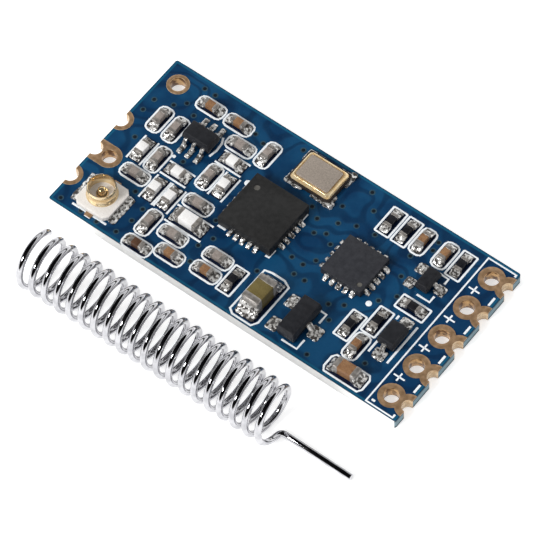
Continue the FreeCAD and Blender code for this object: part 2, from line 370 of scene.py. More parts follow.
def maskFinish():
    f, look = Finish("solderMask", IOR=1.5, Specular_IOR_Level=0.3), maskLook
    x, y, z = f.axes()
    facing = f.node("ShaderNodeSeparateXYZ", None,
                    {"Vector": f.node("ShaderNodeNewGeometry").outputs["Normal"]})
    upright = Value(f, facing.outputs["Z"])
    side = abs(upright) < 0.5
    shadedEnds = abs(Value(f, facing.outputs["X"])) > 0.5
    below = upright < -0.5

    # Copper pour in two tones with channels through it, paler near the edge, dark at its rim
    inward = (boardHalf[0] - abs(x)).min(boardHalf[1] - abs(y))
    width, soft = look["edgeWidth"], look["edgeSoft"]
    edge = 1 - f.ramp(inward, width - soft, width + soft)
    rim = inward < look["rimWidth"]
    pour = f.ramp(f.noise(look["pourSize"], 2.0), 0.4, 0.6) * (x < look["pourEnd"])
    level = f.noise(look["levelSize"], 1.5)
    channel = 1 - f.ramp(abs((level * look["levels"]).math("FRACT") - 0.5), *look["channelReach"])
    grain = f.noise(look["grainSize"], 3.0)
    mask = f.blend((pour * 0.7 + grain * 0.3) * (1 - below * 0.5), look["bare"], look["copper"])
    mask = f.blend(channel * (0.5 - below * 0.3), mask, look["channel"])
    mask = f.blend(edge * 0.7, mask, look["edge"])
    mask = f.blend(rim * 0.8, mask, look["rim"])

    # Sides: laminate with darker skins above and below; along the board a lit near-white tone, at
    # its ends a blue-grey painted shade with strong skins
    layer = f.ramp(abs(z - boardTop / 2), *look["coreReach"])
    weave = f.noise(look["weaveSize"], 2.0, stretch=(1, 1, 6))
    litAndShadedSheet = f.blend(shadedEnds, look["laminate"], look["end"])
    laminate = f.blend((layer * 0.75 + weave * 0.15) * (shadedEnds * 0.9 + 0.1), litAndShadedSheet, look["skin"])

    # Rings below; 100.5 keeps the row's fraction positive and centred on each pin
    pitch = pinRow["pitch"]
    across = ((y / pitch + 100.5).math("FRACT") - 0.5) * pitch
    pins = distance(x - pinRow["x"], across).min(distance(x - boardHalf[0], across))
    reach = pins - pinRow["land"] / 2
    for landX, landY, diameter in farLands.values():
        reach = reach.min(distance(x - landX, y - landY) - diameter / 2)
    ring = (reach < 0) * below
    colour = f.blend(ring, f.blend(side, mask, laminate), look["gold"])
    f.bump(grain * 0.5 + pour * 0.5 - channel * 0.6, look["depth"])
    return f.finish(Base_Color=colour, Roughness=0.3 + grain * 0.12 + side * 0.4,
                    Metallic=ring * 0.6)


def metalFinish(name, bright, dull, rough, grainSize, depth, metallic=1.0, spread=0.2):
    f = Finish(name, Metallic=metallic)
    grain = f.noise(grainSize, 3.0)
    f.bump(grain, depth)
    tone = f.ramp(grain, 0.5 - spread, 0.5 + spread)
    return f.finish(Base_Color=f.blend(tone, tint(*dull), tint(*bright)),
                    Roughness=rough + (grain - 0.5) * rough * 0.8)


def groundFinish(name, light, dark, rough, grainSize, depth):
    f = Finish(name, Specular_IOR_Level=0.3)
    grain = f.noise(grainSize, 4.0, 0.6)
    cloud = f.noise(grainSize * 9, 2.0)
    f.bump(grain, depth)
    tone = f.ramp(grain * 0.6 + cloud * 0.4, 0.35, 0.65)
    return f.finish(Base_Color=f.blend(tone, tint(*dark), tint(*light)),
                    Roughness=rough + (grain - 0.5) * 0.2)


# Metals: bright and dull colour, roughness, grain, bump depth, metallic, spread of the two colours
metalLooks = {
    "goldPlating": ((196, 160, 124), (164, 131, 98), 0.36, 0.3, 0.006, 0.5),
    # Full holes' walls: dark brown painted shade, with pale patches as painted glints
    "barrelGold": ((222, 180, 126), (104, 70, 40), 0.2, 0.4, 0.02, 0.6, 0.1),
    "rimGold": ((255, 234, 192), (240, 202, 142), 0.2, 0.3, 0.004, 0.5),
    "socketGold": ((252, 232, 192), (230, 200, 152), 0.14, 0.5, 0.004, 0.85),
    # Edge notches' walls: the same plating in a lighter, lit tone
    "notchGold": ((232, 208, 172), (190, 158, 120), 0.26, 0.4, 0.01, 0.4),
    # Lighter gold on the rounded rims of the lands: a painted highlight
    "padRim": ((232, 206, 168), (190, 158, 120), 0.26, 0.2, 0.006, 0.4),
    # Solder: sharp patches of near white and dark grey are painted reflections on its lumps
    "solder": ((255, 253, 249), (92, 88, 85), 0.18, 0.2, 0.02, 0.5, 0.09),
    "endMetal": ((192, 186, 180), (152, 146, 140), 0.34, 0.3, 0.006, 0.6),
    "leadMetal": ((240, 238, 234), (114, 111, 108), 0.24, 0.2, 0.008, 0.55, 0.1),
    "lidMetal": ((194, 181, 168), (172, 160, 148), 0.4, 0.09, 0.003, 0.4),
    "springMetal": ((210, 210, 213), (182, 182, 186), 0.07, 0.6, 0.001),
}

# Ceramics, plastics and inks: light and dark colour, roughness, grain, bump depth
groundLooks = {
    "bareMask": ((2, 24, 56), (0, 16, 42), 0.36, 0.2, 0.004),
    "moulding": ((47, 47, 47), (34, 34, 34), 0.5, 0.035, 0.004),
    "thinMoulding": ((58, 59, 64), (42, 43, 48), 0.5, 0.035, 0.004),
    "smallMoulding": ((44, 45, 49), (28, 29, 33), 0.44, 0.035, 0.004),
    "greyCeramic": ((166, 156, 149), (130, 120, 114), 0.42, 0.05, 0.004),
    "brownCeramic": ((160, 122, 86), (122, 86, 60), 0.42, 0.05, 0.004),
    "darkCeramic": ((100, 70, 52), (76, 52, 38), 0.42, 0.05, 0.004),
    "whiteCeramic": ((250, 249, 248), (234, 232, 230), 0.35, 0.08, 0.003),
    "oliveCeramic": ((120, 107, 64), (98, 86, 50), 0.4, 0.06, 0.004),
    "mouldedMark": ((108, 105, 99), (78, 76, 73), 0.5, 0.05, 0.004),
    "resistorGlaze": ((40, 40, 44), (22, 22, 26), 0.3, 0.06, 0.004),
    "baseCeramic": ((58, 50, 46), (38, 33, 31), 0.5, 0.06, 0.004),
    "socketHousing": ((242, 238, 233), (225, 220, 214), 0.45, 0.08, 0.004),
    "legendInk": ((252, 254, 255), (238, 244, 249), 0.55, 0.06, 0.003),
    "viaRing": ((56, 86, 98), (34, 62, 82), 0.4, 0.05, 0.003),
    "viaDark": ((26, 34, 42), (14, 22, 32), 0.4, 0.05, 0.003),
}

finishes = {"solderMask": maskFinish()}
finishes.update((name, metalFinish(name, *look)) for name, look in metalLooks.items())
finishes.update((name, groundFinish(name, *look)) for name, look in groundLooks.items())
paint(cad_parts["circuit_board"], "solderMask")
print("finishes made")

solderLumps = bpy.data.textures.new("solderLumps", "CLOUDS")
solderLumps.noise_scale = 0.24
solderLumps.noise_depth = 1


def lumpy(obj, strength, group=""):
    return modify(obj, "DISPLACE", texture=solderLumps, texture_coords="GLOBAL",
                  strength=strength, mid_level=0.5, vertex_group=group)


def solderRun(start, reach, width, low, high):  # high against the metal, low at its toe
    run = addBlock("solderRun", (reach, width, high), (start + reach / 2, 0, high / 2))
    with editing(run):
        select(run, "VERT", lambda at, item: at.x > start + reach / 2 and at.z > high / 2)
        bpy.ops.transform.translate(value=(0, 0, low - high))
        selectAll()
        bpy.ops.mesh.subdivide(number_cuts=3)
    smoothed(run, 2)
    group = run.vertex_groups.new(name="solder")
    group.add(range(len(run.data.vertices)), 1.0, "REPLACE")
    return paint(run, "solder")


# Two-ended chips: a ceramic block, a metal cap round each end, solder run out over the lands
chipKinds = table("length width height cap skin solder lumps finish slot", {
    "capacitor": (1.0, 0.52, 0.5, 0.25, 0.015, 0.42, 0.1, "greyCeramic", "capacitor_ceramic"),
    "resistor": (1.0, 0.5, 0.35, 0.22, 0.01, 0.42, 0.1, "resistorGlaze", "resistor_glaze"),
    "inductor": (1.0, 0.6, 0.5, 0.2, 0.012, 0.4, 0.1, "whiteCeramic", "inductor_ceramic"),
    "long_inductor": (1.6, 0.85, 0.72, 0.3, 0.02, 0.46, 0.12, "whiteCeramic",
                      "inductor_ceramic"),
    "supply_capacitor": (1.6, 0.82, 0.8, 0.35, 0.02, 0.46, 0.12, "brownCeramic",
                         "capacitor_ceramic"),
    "reservoir_capacitor": (2.0, 1.27, 1.25, 0.5, 0.02, 0.62, 0.12, "oliveCeramic",
                            "reservoir_ceramic"),
})
oddFinishes = {f"capacitor_{n}": "brownCeramic" for n in (1, 2, 8, 10, 17, 18, 19)}
oddFinishes["capacitor_4"] = "darkCeramic"

# Shares of a chip's height come first, then the solder's size round its end
chipLook = {"bodyEdge": 0.05, "capInset": 0.16, "capBulge": 0.03, "capEdge": 0.09, "rise": 0.62,
            "over": 0.06, "tuck": 0.12, "side": 0.12, "toe": 0.07, "turn": 1.5}


def makeChip(kind, bodyFinish):
    look = chipLook
    length, width, height = kind["length"], kind["width"], kind["height"]
    cap, skin = kind["cap"], kind["skin"]
    body = addBlock("chipBody", (length - cap, width - 2 * skin, height - 2 * skin),
                    (0, 0, height / 2))
    pieces = [paint(rounded(body, look["bodyEdge"] * height), bodyFinish)]
    end = addBlock("chipCap", (cap, width, height), ((length - cap) / 2, 0, height / 2))
    with editing(end):
        select(end, "FACE", lambda at, item: item.normal.x > 0.5)
        bpy.ops.mesh.inset(thickness=look["capInset"] * height)
        bpy.ops.transform.translate(value=(look["capBulge"] * height, 0, 0))
    paint(rounded(end, look["capEdge"] * height, 3, 60), "endMetal")
    run = solderRun(length / 2 - look["tuck"], kind["solder"] + look["tuck"],
                    width + look["side"], look["toe"], height * look["rise"] + look["over"])
    for turn in (0, 180):
        pieces.append(copyOf(end, turn=turn))
        pieces.append(copyOf(run, turn=turn))
    discard(end, run)
    return joinAll(pieces)


def chipNodes():
    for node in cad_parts:
        kindName, _, number = node.rpartition("_")
        if kindName in chipKinds:
            yield node, kindName, int(number)


def placeChips():
    for kindName, kind in chipKinds.items():
        patterns = {}
        for _, node in sorted((number, node) for node, name, number in chipNodes()
                              if name == kindName):
            finish = oddFinishes.get(node, kind["finish"])
            if finish not in patterns:
                patterns[finish] = makeChip(kind, finish)
            x, y, turn = seatOf(node)
            slant = dice.uniform(-chipLook["turn"], chipLook["turn"])
            chip = copyOf(patterns[finish], (x, y, boardTop), turn + slant)
            lumpy(chip, kind["lumps"], "solder")
            deliver(chip, [node], kind["slot"])
        discard(*patterns.values())


placeChips()
print("two-ended chips placed")

# Flat packages: the body stands on its lands, with a face of each land showing at its sides
flatKinds = table("side height pitch perSide finish mark", {
    "radio_chip": (4.0, 0.85, 0.5, 5, "moulding", (-3.07, 1.43, 0.2)),
    "controller_chip": (3.0, 0.6, 0.5, 5, "thinMoulding", (6.07, -0.29, 0.17)),
})
flatLook = {"edge": 0.026, "gap": 0.05, "markDepth": 0.06, "middle": 0.6, "landWidth": 0.25,
            "landHeight": 0.2, "landDepth": 0.06, "landEdge": 0.02, "proud": 0.02, "inset": 0.01,
            "fillet": 0.36, "tuck": 0.06, "side": 0.05, "toe": 0.06, "over": 0.08, "lumps": 0.1}


def makeFlatPackage(node, kind):
    look = flatLook
    side, height, gap = kind["side"], kind["height"], look["gap"]
    half = side / 2
    x, y, _ = seatOf(node)
    body = addBlock(node, (side, side, height - gap), (0, 0, (height + gap) / 2))
    markX, markY, radius = kind["mark"]
    markBottom = height - look["markDepth"]
    carve(body, addDrum("mark", radius, markBottom, height + 1, markX - x, markY - y, 24))
    rounded(body, look["edge"], angle=60)
    paint(body, kind["finish"], "mouldedMark")
    with editing(body):
        select(body, "FACE", lambda at, item: item.normal.z > 0.5 and at.z < markBottom + 0.01)
        repaint(body, 1)
    deliver(setDown(body, x, y), [node], "moulding")

    width, rise = look["landWidth"], look["landHeight"]
    face = addBlock("landFace", (look["landDepth"], width, rise),
                    (half - look["inset"], 0, rise / 2 + look["proud"]))
    paint(rounded(face, look["landEdge"]), "leadMetal")
    run = solderRun(half - look["tuck"], look["fillet"] + look["tuck"], width + look["side"],
                    look["toe"], rise + look["over"])
    middle = addBlock("middleLand", (side * look["middle"], side * look["middle"], gap),
                      (0, 0, gap / 2))
    lands = [paint(rounded(middle, look["landEdge"]), "leadMetal")]
    for turn in (0, 90, 180, 270):
        for k in range(kind["perSide"]):
            along = kind["pitch"] * (k - (kind["perSide"] - 1) / 2)
            for part in (face, run):
                lands.append(setDown(copyOf(part, (0, along, 0)), 0, 0, 0, turn))
    discard(face, run)
    whole = lumpy(setDown(joinAll(lands), x, y), look["lumps"], "solder")
    deliver(whole, [node + "_lands"], "solder")


for node, kind in flatKinds.items():
    makeFlatPackage(node, kind)
print("flat packages made")

# Moulded packages with bent leads; body along X, leads towards -Y in front and +Y at the back
mouldedKinds = table("length width height span lead pad front back place turn", {
    "radio_switch": (2.1, 1.25, 0.95, 2.75, 0.24, 0.34, (-0.65, 0.0, 0.65), (-0.65, 0.0, 0.65),
                     (-8.27, 2.47), 0),
    "regulator": (2.9, 1.35, 1.1, 2.9, 0.42, 0.95, (0.0,), (-0.95, 0.95), (4.6, -4.37), 90),
    "transistor": (1.62, 0.95, 0.8, 2.2, 0.3, 0.72, (0.0,), (-0.62, 0.62), (9.16, 2.5), 90),
    "diode": (1.25, 1.7, 0.95, 3.1, 0.34, 0.84, (0.0,), (0.0,), (9.8, -1.92), 0),
})
mouldLook = {"gap": 0.06, "draft": 0.1, "edge": 0.05, "thickness": 0.13, "root": 0.12,
             "shoulder": 0.14, "shoulderBend": (0.08, 0.07), "ankle": 0.35,
             "ankleTop": (-0.05, 0.11), "ankleFoot": (0.02, 0.05), "stripEdge": 0.03,
             "poolBack": 0.2, "poolReach": 0.16, "poolToe": 0.08, "poolRise": 0.17, "lumps": 0.1}


def bentStrip(width, path):  # along points in X and Z, of which the first two lie level
    deselectAll()
    (startX, startZ), (nextX, _) = path[:2]
    bpy.ops.mesh.primitive_plane_add(size=1, location=((startX + nextX) / 2, 0, startZ))
    strip = bpy.context.object
    strip.scale = (nextX - startX, width, 1)
    freeze(strip)
    with editing(strip):
        select(strip, "EDGE", lambda at, item: abs(at.x - nextX) < 0.001)
        for (x, z), (toX, toZ) in zip(path[1:], path[2:]):
            drawOut(toX - x, 0, toZ - z)
        faceOutwards()
    modify(strip, "SOLIDIFY", thickness=mouldLook["thickness"], offset=0.0)
    return paint(rounded(strip, mouldLook["stripEdge"]), "leadMetal")


def makeMoulded(node, kind):
    look = mouldLook
    gap, height, draft = look["gap"], kind["height"], look["draft"]
    waist = (gap + height) / 2
    length, width = kind["length"], kind["width"]
    x, y = kind["place"]
    body = addBlock(node, (length, width, waist - gap), (0, 0, (waist + gap) / 2))
    narrow = ((length - 2 * draft) / length, (width - 2 * draft) / width, 1)
    with editing(body):
        selectUpper(body)
        bpy.ops.mesh.extrude_region_move(TRANSFORM_OT_translate={"value": (0, 0, height - waist)})
        bpy.ops.transform.resize(value=narrow)
        select(body, "FACE", lambda at, item: item.normal.z < -0.5)
        bpy.ops.transform.resize(value=narrow)
    paint(rounded(body, look["edge"], 3, 20), "smallMoulding")
    deliver(setDown(body, x, y, turn=kind["turn"]), [node], "moulding")

    start, toe = width / 2 - look["root"], kind["span"] / 2
    shoulder = width / 2 + look["shoulder"]
    ankle = shoulder + (toe - shoulder) * look["ankle"]
    half = look["thickness"] / 2
    bendX, bendZ = look["shoulderBend"]
    topX, topZ = look["ankleTop"]
    footX, footZ = look["ankleFoot"]
    lead = bentStrip(kind["lead"], [(start, waist), (shoulder - bendX, waist),
                                    (shoulder, waist - bendZ), (ankle + topX, half + topZ),
                                    (ankle + footX, half + footZ), (toe, half + footZ)])
    pool = solderRun(ankle - look["poolBack"], toe + look["poolReach"] - ankle + look["poolBack"],
                     kind["pad"], look["poolToe"], look["poolRise"])
    leads = []
    for side, turn in (("front", -90), ("back", 90)):
        for along in kind[side]:
            for part in (lead, pool):
                leads.append(copyOf(part, (along, 0, 0), turn))
    discard(lead, pool)
    whole = setDown(joinAll(leads), x, y, turn=kind["turn"])
    lumpy(whole, look["lumps"], "solder")
    deliver(whole, [node + "_leads"], "solder")


for node, kind in mouldedKinds.items():
    makeMoulded(node, kind)
print("moulded packages made")

# Crystal: ceramic base on soldered pads, polished seam ring, satin lid
crystalLook = {"length": 3.2, "width": 2.5, "baseBottom": 0.05, "base": 0.35,
               "baseCorner": 0.12, "edge": 0.02, "corner": 0.24, "ringTop": 0.62,
               "ringInset": 0.07, "draft": 0.15, "ringEdge": 0.05, "ringWidth": 0.07,
               "groove": 0.04, "grooveDepth": 0.1, "lidBottom": 0.5, "lidTop": 0.65,
               "lidCorner": 0.12, "pad": (1.2, 1.0, 0.1), "padInset": (0.44, 0.34), "lumps": 0.14,
               "beads": ((-1, -1, 0.34, 0.3, 0.16), (1, -1, 0.62, 0.46, 0.24),
                         (1, 1, 0.44, 0.6, 0.22), (0.25, -1, 0.3, 0.24, 0.13),
                         (-0.35, -1, 0.34, 0.22, 0.12))}


def roundedSlab(name, length, width, bottom, top, corner, edge):
    slab = addBlock(name, (length, width, top - bottom), (0, 0, (top + bottom) / 2))
    with editing(slab):
        selectRising(slab)
        bpy.ops.mesh.bevel(offset=corner, segments=6)
    return rounded(slab, edge, 3, 60)


def makeCrystal():
    look = crystalLook
    x, y, _ = seatOf("crystal_base")
    length, width = look["length"], look["width"]
    base = roundedSlab("crystalBase", length, width, look["baseBottom"], look["base"],
                       look["baseCorner"], look["edge"])
    paint(base, "baseCeramic")
    inset, draft = 2 * look["ringInset"], 2 * look["draft"]
    ringLength, ringWidth = length - inset, width - inset
    ring = addBlock("crystalRing", (ringLength, ringWidth, look["ringTop"] - look["base"]),
                    (0, 0, (look["ringTop"] + look["base"]) / 2))
    with editing(ring):
        selectUpper(ring)
        bpy.ops.transform.resize(value=(1 - draft / ringLength, 1 - draft / ringWidth, 1))
        selectRising(ring)
        bpy.ops.mesh.bevel(offset=look["corner"], segments=6)
    rounded(ring, look["ringEdge"], 3, 50)
    with editing(ring):
        selectUpper(ring)
        bpy.ops.mesh.inset(thickness=look["ringWidth"])
        bpy.ops.transform.translate(value=(0, 0, -look["grooveDepth"]))
    paint(ring, "rimGold")
    inset += draft + 2 * (look["ringEdge"] + look["ringWidth"] + look["groove"])
    lid = roundedSlab("crystalLid", length - inset, width - inset, look["lidBottom"],
                      look["lidTop"], look["lidCorner"], look["edge"])
    top = joinAll([ring, paint(lid, "lidMetal")])
    deliver(setDown(base, x, y), ["crystal_base"], "crystal_ceramic")
    deliver(setDown(top, x, y), ["crystal_lid"], "crystal_metal")

    insetX, insetY = look["padInset"]
    pads = [addBlock("crystalPad", look["pad"],
                     (sideX * (length / 2 - insetX), sideY * (width / 2 - insetY),
                      look["pad"][2] / 2))
            for sideX in (-1, 1) for sideY in (-1, 1)]
    pads += [addBlock("crystalBead", (across, along, height),
                      (sideX * length / 2, sideY * width / 2, height / 2))
             for sideX, sideY, across, along, height in look["beads"]]
    for part in pads:
        with editing(part):
            selectAll()
            bpy.ops.mesh.subdivide(number_cuts=3)
        paint(smoothed(part, 1), "solder")
    whole = lumpy(setDown(joinAll(pads), x, y), look["lumps"])
    deliver(whole, ["crystal_pads"], "solder")


makeCrystal()
print("crystal made")

# Coaxial socket. Outside and collar give radius past the shell's or pin's and height over the
# floor, inside the radius past the shell's bore and depth, tip the share of radius and depth
socketLook = {"side": 2.6, "chamfer": 0.3, "strip": 0.1, "floor": 0.45, "height": 1.3,
              "ledge": 0.12, "ledgeRise": 0.02, "edge": 0.03, "radius": 0.94, "wall": 0.12,
              "shellOffset": (-0.1, 0.12), "pin": 0.27, "pinTop": 1.05,
              "outside": ((0.08, 0.0), (0.07, 0.08), (0.0, 0.16), (-0.05, 0.28), (-0.07, 0.4),
                          (-0.06, 0.5), (-0.01, 0.6), (0.0, 0.68), (-0.015, 0.75),
                          (-0.05, 0.85)),
              "inside": ((0.03, 0.02), (0.0, 0.08)),
              "collar": ((0.12, 0.1), (0.08, 0.16), (0.0, 0.19)), "root": 0.02,
              "tip": ((1.0, 0.2), (0.92, 0.12), (0.74, 0.06), (0.44, 0.02), (0.1, 0.0)),
              "tail": (0.5, 3.1), "tabWidth": 2.2, "tabReach": 0.48, "tabTuck": 0.05,
              "tabToe": 0.07, "tabRise": 0.3, "lumps": 0.16}


def makeSocket():
    look = socketLook
    x, y, _ = seatOf("socket_housing")
    side, floor = look["side"], look["floor"]
    housing = addBlock("SocketHousing", (side, side, floor - look["strip"]),
                       (0, 0, (floor + look["strip"]) / 2))
    with editing(housing):
        selectRising(housing)
        bpy.ops.mesh.bevel(offset=look["chamfer"], segments=1)
        selectUpper(housing)
        bpy.ops.mesh.inset(thickness=look["ledge"])
        bpy.ops.transform.translate(value=(0, 0, look["ledgeRise"]))
    paint(rounded(housing, look["edge"], 2, 20), "socketHousing")

    outer, inner = look["radius"], look["radius"] - look["wall"]
    rise = look["height"] - floor
    profile = [(inner, 0.0), *((outer + past, up) for past, up in look["outside"]),
               *((inner + past, rise - depth) for past, depth in look["inside"]), (inner, 0.0)]
    shell = turned("SocketShell", [(r, floor + z) for r, z in profile], 72)
    paint(shell, "socketGold")

    pin, top = look["pin"], look["pinTop"]
    profile = [(pin + look["collar"][0][0], look["root"]),
               *((pin + past, floor + up) for past, up in look["collar"]),
               *((pin * share, top - depth) for share, depth in look["tip"])]
    contact = turned("contactPin", profile, 32)
    tail = addBlock("contactStrip", (*look["tail"], look["strip"]), (0, 0, look["strip"] / 2))
    for piece in (shell, contact):
        setDown(piece, *look["shellOffset"], 0)
    contact = joinAll([paint(contact, "socketGold"), paint(rounded(tail, 0.02), "goldPlating")])

    run = solderRun(side / 2 - look["tabTuck"], look["tabReach"], look["tabWidth"],
                    look["tabToe"], look["tabRise"])
    tabs = joinAll([copyOf(run), copyOf(run, turn=180)])
    discard(run)
    lumpy(setDown(tabs, x, y), look["lumps"])
    deliver(setDown(housing, x, y), ["socket_housing"], "socket_housing")
    deliver(setDown(shell, x, y), ["socket_shell"], "socket_metal")
    deliver(setDown(contact, x, y), ["socket_contact"], "socket_metal")
    deliver(tabs, ["socket_ground_tabs"], "solder", "SocketTabs")


makeSocket()
print("socket made")

# Plated lands: copper let into the board's top, with the plating of its holes
padLook = {"copper": 0.05, "proud": 0.03, "edge": 0.024, "sleeveTop": 0.02, "feedStretch": 1.6}


def makePad(lands, holes, stretch=0):  # as (x, y, diameter); stretch draws the first land to -X
    low, high = boardTop - padLook["copper"], boardTop + padLook["proud"]
    if len(holes) == 1:
        x, y, diameter = lands[0]
        land, drill = diameter / 2, holes[0][2] / 2
        sleeve = drill + padLook["copper"]
        pad = turned("pad", [(drill, 0), (sleeve, 0), (sleeve, low), (land, low), (land, high),
                             (drill, high), (drill, 0)], 48)
        return finishPad(setDown(pad, x, y, 0), holes)
    pad = addDrum("pad", lands[0][2] / 2, low, high, *lands[0][:2])
    if stretch:
        with editing(pad):
            select(pad, "VERT", lambda at, item: at.x < lands[0][0] - 0.001)
            bpy.ops.transform.translate(value=(-stretch, 0, 0))
    for x, y, diameter in lands[1:]:
        carve(pad, addDrum("land", diameter / 2, low, high, x, y), "UNION")
    for x, y, diameter in holes:
        sleeve = addDrum("sleeve", diameter / 2 + padLook["copper"], 0.0,
                         boardTop - padLook["sleeveTop"], x, y)
        carve(pad, sleeve, "UNION")
    for x, y, diameter in holes:
        carve(pad, addDrum("drill", diameter / 2, -1, 2, x, y))
    return finishPad(pad, holes)


def finishPad(pad, holes):  # cut at the board's ends, edges rounded, hole walls in their own finish: painted shade with painted glints in the full holes, a lighter lit tone in the edge notches
    high = boardTop + padLook["proud"]
    for edgeX in (-boardHalf[0], boardHalf[0]):
        with editing(pad):
            selectAll()
            bpy.ops.mesh.bisect(plane_co=(edgeX, 0, 0), plane_no=(math.copysign(1, edgeX), 0, 0),
                                use_fill=True, clear_outer=True)
    barrel, notch, rim = 1, 2, 3
    paint(rounded(pad, padLook["edge"], 2, 60), "goldPlating", "barrelGold", "notchGold", "padRim")
    with editing(pad):
        for x, y, diameter in holes:
            reach = diameter / 2 + 0.02
            select(pad, "FACE", lambda at, item: abs(item.normal.z) < 0.4 and at.z < high - 0.04
                   and (at.xy - Vector((x, y))).length < reach)
            repaint(pad, notch if abs(x) == boardHalf[0] else barrel)
        # The rounded rim faces round each land's top get the painted highlight
        select(pad, "FACE", lambda at, item: 0.2 < item.normal.z < 0.98 and at.z > boardTop)
        repaint(pad, rim)
    return pad


def makePads():
    pin, notch = (pinRow["x"], 0), (boardHalf[0], 0)
    pattern = makePad([(*pin, pinRow["land"]), (*notch, pinRow["land"])],
                      [(*pin, pinRow["hole"]), (*notch, pinRow["notch"])])
    row = [copyOf(pattern, (0, pinRow["pitch"] * k, 0)) for k in range(-2, 3)]
    discard(pattern)
    deliver(joinAll(row), ["header_pads"], "gold_plating")
    bored = {name: (*land[:2], 1.0) for name, land in farLands.items()}
    bored["feed"] = (*farLands["feed"][:2], 0.96)
    notches = [makePad([farLands[name]], [bored[name]]) for name in ("upperNotch", "lowerNotch")]
    deliver(joinAll(notches), ["notch_pads"], "gold_plating")
    eyelet = makePad([farLands["eyelet"]], [bored["eyelet"]])
    deliver(eyelet, ["antenna_eyelet"], "gold_plating")
    feed = makePad([farLands["feed"]], [bored["feed"], bored["feedNotch"]],
                   padLook["feedStretch"])
    deliver(feed, ["feed_pad"], "gold_plating")


makePads()
print("plated lands made")

# Spring antenna: a coil about an axis along X, a bend out of its last turn, and a straight leg
springLook = {"wire": 0.45, "radius": 1.775, "pitch": 0.957, "turns": 19, "startAngle": 20.0,
              "endAngle": 262.0, "bend": 0.36, "bendSteps": 10, "endEdge": 0.03,
              "axisY": -10.82, "startX": -10.77, "sides": 16, "stepsPerTurn": 32}


def makeSpring():
    look = springLook
    radius, wire = look["radius"], look["wire"] / 2
    start, end = math.radians(look["startAngle"]), math.radians(look["endAngle"])
    sweep = 2 * math.pi * look["turns"] + end - start
    deselectAll()
    bpy.ops.mesh.primitive_circle_add(
        vertices=look["sides"], radius=wire, rotation=(start, 0, 0),
        location=(0, radius * math.cos(start), radius * math.sin(start)))
    spring = freeze(bpy.context.object)
    climb = look["pitch"] * sweep / (2 * math.pi)
    steps = round(sweep / (2 * math.pi) * look["stepsPerTurn"])
    modify(spring, "SCREW", axis="X", angle=sweep, screw_offset=climb, steps=steps,
           render_steps=steps, iterations=1, use_merge_vertices=False, use_smooth_shade=True)
    outward = Vector((0, math.cos(end), math.sin(end)))
    last = Vector((climb, 0, 0)) + outward * radius
    hub = last + Vector((look["bend"], 0, 0))
    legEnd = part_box("spring_antenna")[1][0] / mm - look["startX"]
    with editing(spring):
        select(spring, "EDGE", lambda at, item: item.is_boundary and (at - last).length < 2 * wire)
        bpy.ops.mesh.spin(steps=look["bendSteps"], angle=-math.pi / 2, center=hub, axis=outward)
        drawOut(legEnd - climb - look["bend"], 0, 0)
        for side in (0, 1):
            select(spring, "EDGE", lambda at, item: item.is_boundary and (at.x > 5) == side)
            bpy.ops.mesh.edge_face_add()
            bpy.ops.mesh.bevel(offset=look["endEdge"], segments=2)
        faceOutwards()
    low = min(corner.co.z for corner in spring.data.vertices)
    paint(setDown(spring, look["startX"], look["axisY"], -low), "springMetal")
    deliver(spring, ["spring_antenna"], "spring_wire")


makeSpring()
print("spring antenna made")

# Printed legend: outlines round the parts, marks and signs, in thick white ink
inkLook = {"width": 0.15, "height": 0.014, "signWeight": 0.75, "plus": (0.4, 0.31), "minus": 0.33,
           "dotEdge": 0.006}
outlineBoxes = {"capacitor": (2.0, 1.02, 0.32, 2), "resistor": (2.04, 1.02, 0.04, 1)}
outlineBars = {"inductor": (1.0, 0.5), "long_inductor": (1.4, 0.66)}


def softOutline(length, width, radius, steps):  # a rectangle with rounded corners
    points = []
    for corner, (sideX, sideY) in enumerate(((1, 1), (-1, 1), (-1, -1), (1, -1))):
        middle = (sideX * (length / 2 - radius), sideY * (width / 2 - radius))
        for k in range(steps + 1):
            angle = math.pi / 2 * (corner + k / steps)
            points.append((middle[0] + radius * math.cos(angle),
                           middle[1] + radius * math.sin(angle)))
    return points


def atPlace(points, x, y, turn):
    cosine, sine = math.cos(math.radians(turn)), math.sin(math.radians(turn))
    return [(x + px * cosine - py * sine, y + px * sine + py * cosine) for px, py in points]


def chipOutlines():
    outlines = []
    for node, kindName, _ in chipNodes():
        seat = seatOf(node)
        if kindName in outlineBoxes:
            outlines.append((True, atPlace(softOutline(*outlineBoxes[kindName]), *seat)))
        elif kindName in outlineBars:
            halfX, halfY = outlineBars[kindName]
            for side in (-halfY, halfY):
                outlines.append((False, atPlace([(-halfX, side), (halfX, side)], *seat)))
    return outlines


